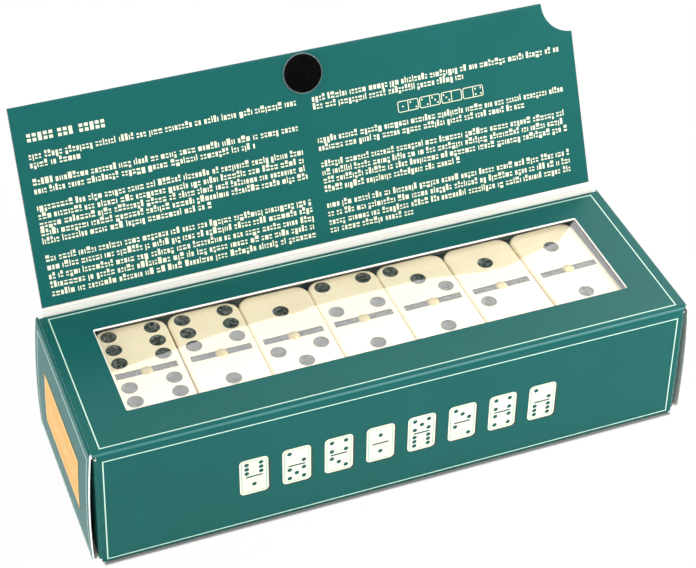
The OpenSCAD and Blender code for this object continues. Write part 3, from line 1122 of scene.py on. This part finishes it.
def layInk(parts, shape, x, y, sx=1, sy=1):
    # a printed shape, modelled one millimetre thick, laid thin on the liner
    s = printSize
    z = 1.5 * coverSize["board"] - s["sunk"]
    parts.append((shape, place(x, y, z, sx, sy, s["thick"]), 0))


def capitalRow(parts, shape, x0, x1, y, height):
    # a row of even blocks as tall as capitals
    step, width, slit = printSize["capital"]
    part = (height - slit) / 2
    for i in range(round((x1 - x0) / step)):
        x = x0 + (i + 0.5) * step
        if i % 3 == 2:
            layInk(parts, shape, x, y + height / 2, width, height)
            continue
        for low in (0, (height + slit) / 2):
            layInk(parts, shape, x, y + low + part / 2, width, part)


def wordRow(parts, shape, draw, x0, x1, y):
    # a row of blocks: some tall, some with a slit, grouped as words are
    s = printSize
    x = x0
    while x < x1 - s["rowEnd"]:
        for i in range(draw.choice(s["wordLengths"])):
            width = min(draw.choice(s["widths"]), x1 - x)
            if width < s["least"]:
                break
            chance = draw.random()
            low = -s["drop"] if chance < s["dropShare"] else 0
            high = s["xHeight"] + (s["tall"] if chance > s["plainShare"] else 0)
            spans = [(low, high)]
            if width > s["slitFrom"] and draw.random() < s["slitShare"]:
                cut = s["xHeight"] * draw.choice(s["slitAt"])
                spans = [(low, cut - s["slit"] / 2), (cut + s["slit"] / 2, high)]
            for a, b in spans:
                layInk(parts, shape, x + width / 2, y + (a + b) / 2, width, b - a)
            x += width + s["gap"]
        x += s["space"] * draw.uniform(*s["spaceRange"])


def roundCard(name, width, height, corner, segments):
    # a flat shape with round corners, one millimetre thick
    return block(name, (-width / 2, -height / 2, 0), (width / 2, height / 2, 1), upright, corner,
                 segments)


def tileFrame(name, width, height, corner, line):
    # the outline of a small domino
    outline = roundCard(name, width, height, corner, 4)
    edit(outline)
    pick("FACE", lambda c, f: abs(f.normal.z) > 0.9)
    bpy.ops.mesh.inset(thickness=line * mm, use_individual=True)
    pick("FACE", lambda c, f: abs(f.normal.z) > 0.9 and abs(c.x) < hair and abs(c.y) < hair)
    bpy.ops.mesh.bridge_edge_loops()
    leave()
    return outline


def buildLinerPrint():
    s = printSize
    shape, dot = block("inkBlock", (-0.5, -0.5, 0), (0.5, 0.5, 1)), rod("dotShape", 14, 1, 1, 0.5)
    draw = random.Random(4)
    parts = []
    for (x0, x1), rows in ((s["left"], s["leftRows"]), (s["right"], s["rightRows"])):
        for y, share in rows:
            start = x0 + max(0, (y - s["slantFrom"]) * s["slant"]) if x0 < 0 else x0
            wordRow(parts, shape, draw, start, x0 + (x1 - x0) * share, y)
    x, y, height = s["heading"]
    for word in s["headingWords"]:
        capitalRow(parts, shape, x, x + word, y, height)
        x += word + s["headingSpace"]

    (cx, cy), (width, height), line = s["tilesAt"], s["tile"], s["tileLine"]
    outline = tileFrame("smallFrame", width, height, s["tileCorner"], line)
    for i, counts in enumerate(s["pips"]):
        x = cx + (i - (len(s["pips"]) - 1) / 2) * s["tileStep"]
        layInk(parts, outline, x, cy)
        layInk(parts, shape, x, cy, line, height - line)
        for side, count in zip((-1, 1), counts):
            for px, py in pipPlaces(count):
                at = x + side * width / 4 + py * s["pipStep"], cy + px * s["pipStep"]
                layInk(parts, dot, *at, s["pip"], s["pip"])
    text = gather("linerPrint", parts)
    text.data.transform(onCover)
    paint(text, textInk)
    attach(text, "cover")
    discard(shape, dot, outline)


# printing on the front: a row of small tiles with a shadow and an inner line

frontSize = {
    "z": 21.3, "off": 0.003, "size": (9.4, 14.8), "step": 13.97, "corner": 1.5,
    "inline": (0.55, 0.28), "shade": (0.75, -0.6), "bar": (5.6, 0.6), "barCorner": 0.25,
    "pip": 0.78, "spread": (2.35, 1.85), "halfAt": 0.93,
    # where each layer starts, and its thickness
    "shadow": (0, 0.014), "face": (0.001, 0.021), "line": (0.002, 0.028), "dark": (0.003, 0.032),
    "pips": ((6, 1), (2, 5), (4, 3), (1, 1), (5, 6), (3, 2), (4, 4), (2, 6)),
}


def buildFrontPrint():
    s = frontSize
    width, height = s["size"]
    edge, line = s["inline"]
    stepX, stepY = s["spread"]
    face = roundCard("bigFace", width, height, s["corner"], 5)
    inline = tileFrame("bigInline", width - 2 * edge, height - 2 * edge, s["corner"] - edge, line)
    bar = roundCard("bigBar", *s["bar"], s["barCorner"], 2)
    dot = rod("dotShape", 14, 1, 1, 0.5)
    parts = []

    def put(shape, layer, index, x, y, size=1):
        z, thick = s[layer]
        parts.append((shape, place(x, y, z, size, size, thick), index))

    for i, counts in enumerate(s["pips"]):
        x = (i - (len(s["pips"]) - 1) / 2) * s["step"]
        put(face, "shadow", 0, x + s["shade"][0], s["shade"][1])
        put(face, "face", 1, x, 0)
        put(inline, "line", 2, x, 0)
        put(bar, "dark", 3, x, 0)
        for side, count in zip((1, -1), counts):
            for px, py in pipPlaces(count):
                put(dot, "dark", 3, x + px * stepX,
                    side * height / 4 * s["halfAt"] + py * stepY, s["pip"])
    art = gather("frontPrint", parts)
    stand = Matrix.Rotation(math.radians(90), 4, "X")
    stand.translation = Vector((0, sleeveSize["front"] + s["off"], s["z"])) * mm
    art.data.transform(stand)
    paint(art, shadowInk, creamInk, mintInk, greenPrint)
    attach(art, "box")
    discard(face, inline, bar, dot)


buildLinerPrint()
buildFrontPrint()
print("printing made")


# floor, world, lamps and camera; their places are in metres

stageSize = {
    "floor": 8.0, "floorZ": -0.00005, "albedo": 0.92, "white": 0.96, "worldLight": 0.45,
    # painted contact shadow: close to the box the floor's colour turns dark, from the first
    # distance to the second
    "foot": (0.0975, 0.0337), "fade": (0.0001, 0.0013), "paintedShadowAlbedo": 0.25,
    "lens": 99.907, "sensor": 36, "clip": (0.01, 50),
    "cameraAt": (-0.173896, -0.434283, 0.450030), "cameraTurn": (50.0400, -0.5882, -20.6771),
}
lampSize = {
    "keyLamp": {"at": (0.54, -0.40, 0.31), "target": (0, 0, 0.03), "size": (0.45, 0.45),
                "power": 3.4, "colour": (1, 0.99, 0.95), "mirrored": False},
    "frontLamp": {"at": (0.60, -0.80, 1.12), "target": (0.02, 0, 0.03), "size": (0.9, 0.7),
                  "power": 8.6},
    "leftLamp": {"at": (-1.4, -0.3, 0.35), "target": (0, 0, 0.03), "size": (0.8, 0.6),
                 "power": 16, "colour": (0.97, 0.99, 1), "mirrored": False},
    "sideLamp": {"at": (1.2, 0.7, 1.0), "target": (0, 0, 0.03), "size": (0.8, 0.8), "power": 12},
    "backLamp": {"at": (0.469, 1.053, 1.295), "target": (0, 0, 0.046), "size": (0.80, 0.36),
                 "power": 2.8},
}


def whiteForSight(made):
    # one for camera, glossy and transmission rays, nought for the rest
    path = addNode(made, "ShaderNodeLightPath")
    seen, output = path, "Is Camera Ray"
    for ray in ("Is Glossy Ray", "Is Transmission Ray"):
        either = addNode(made, "ShaderNodeMath", operation="MAXIMUM")
        link(made, seen, output, either, 0)
        link(made, path, ray, either, 1)
        seen, output = either, 0
    return seen


def awayFromFoot(made):
    # nought where the box stands, one a few millimetres off: between them the real contact shadow
    # shows and a painted shadow darkens the floor
    size = vectorStep(made, "ABSOLUTE", addNode(made, "ShaderNodeTexCoord"), "Object")
    beyond = vectorStep(made, "SUBTRACT", size)
    beyond.inputs[1].default_value = (*stageSize["foot"], 0)
    away = vectorStep(made, "LENGTH", vectorStep(made, "MAXIMUM", beyond))
    return spread(made, away, "Value", *stageSize["fade"], 0, 1, interpolation_type="SMOOTHSTEP")


def buildFloor():
    s = stageSize
    bpy.ops.mesh.primitive_plane_add(size=s["floor"], location=(0, 0, s["floorZ"]))
    ground = settle(bpy.context.object, "floor")
    made = bpy.data.materials.new("whiteFloor")
    made.use_nodes = True
    made.node_tree.nodes.remove(shaderOf(made))
    away = awayFromFoot(made)
    matt = addNode(made, "ShaderNodeBsdfDiffuse")
    # painted shadow: near the box the floor's colour darkens to a dark grey
    link(made, spread(made, away, "Result", 0, 1, s["paintedShadowAlbedo"], s["albedo"]), "Result",
         matt, "Color")
    glow = addNode(made, "ShaderNodeEmission", Color=(1, 1, 1, 1), Strength=1.0)
    share = addNode(made, "ShaderNodeMath", operation="MULTIPLY")
    link(made, whiteForSight(made), 0, share, 0)
    link(made, spread(made, away, "Result", 0, 1, 0, s["white"]), "Result", share, 1)
    mixShaders(made, share, 0, matt, glow)
    paint(ground, made)


def buildWorld():
    world = bpy.data.worlds.new("studio")
    bpy.context.scene.world = world
    world.use_nodes = True
    background = world.node_tree.nodes["Background"]
    background.inputs["Color"].default_value = (1, 1, 1, 1)
    level = spread(world, whiteForSight(world), 0, 0, 1, stageSize["worldLight"], 1)
    link(world, level, "Result", background, "Strength")


def addLamp(name, at, target, size, power, colour=(1, 1, 1), mirrored=True):
    data = bpy.data.lights.new(name, "AREA")
    data.shape = "RECTANGLE"
    data.size, data.size_y = size
    data.energy = power
    data.color = colour
    lamp = bpy.data.objects.new(name, data)
    bpy.context.scene.collection.objects.link(lamp)
    lamp.location = at
    lamp.rotation_euler = (Vector(target) - Vector(at)).to_track_quat("-Z", "Y").to_euler()
    lamp.visible_glossy = mirrored  # a lamp's mirror image can blank the film from some sides


def buildCamera():
    s = stageSize
    data = bpy.data.cameras.new("view")
    data.lens, data.sensor_width = s["lens"], s["sensor"]
    data.clip_start, data.clip_end = s["clip"]
    camera = bpy.data.objects.new("view", data)
    bpy.context.scene.collection.objects.link(camera)
    camera.location = s["cameraAt"]
    camera.rotation_euler = [math.radians(a) for a in s["cameraTurn"]]
    bpy.context.scene.camera = camera


# the tray is painted black card, a dark that stands in for the shade inside the box
tray = ("tray_floor", "tray_front_wall", "tray_back_wall", "tray_left_shelf", "tray_right_shelf")
for node, made in [(piece, shadeBlackCard) for piece in tray] + [("dot_adhesive", clearAdhesive)]:
    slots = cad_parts[node].data.materials
    slots.clear()
    slots.append(made)

buildFloor()
buildWorld()
for name, settings in lampSize.items():
    addLamp(name, **settings)
buildCamera()
bpy.context.scene.view_settings.view_transform = "Standard"
print("stage made")
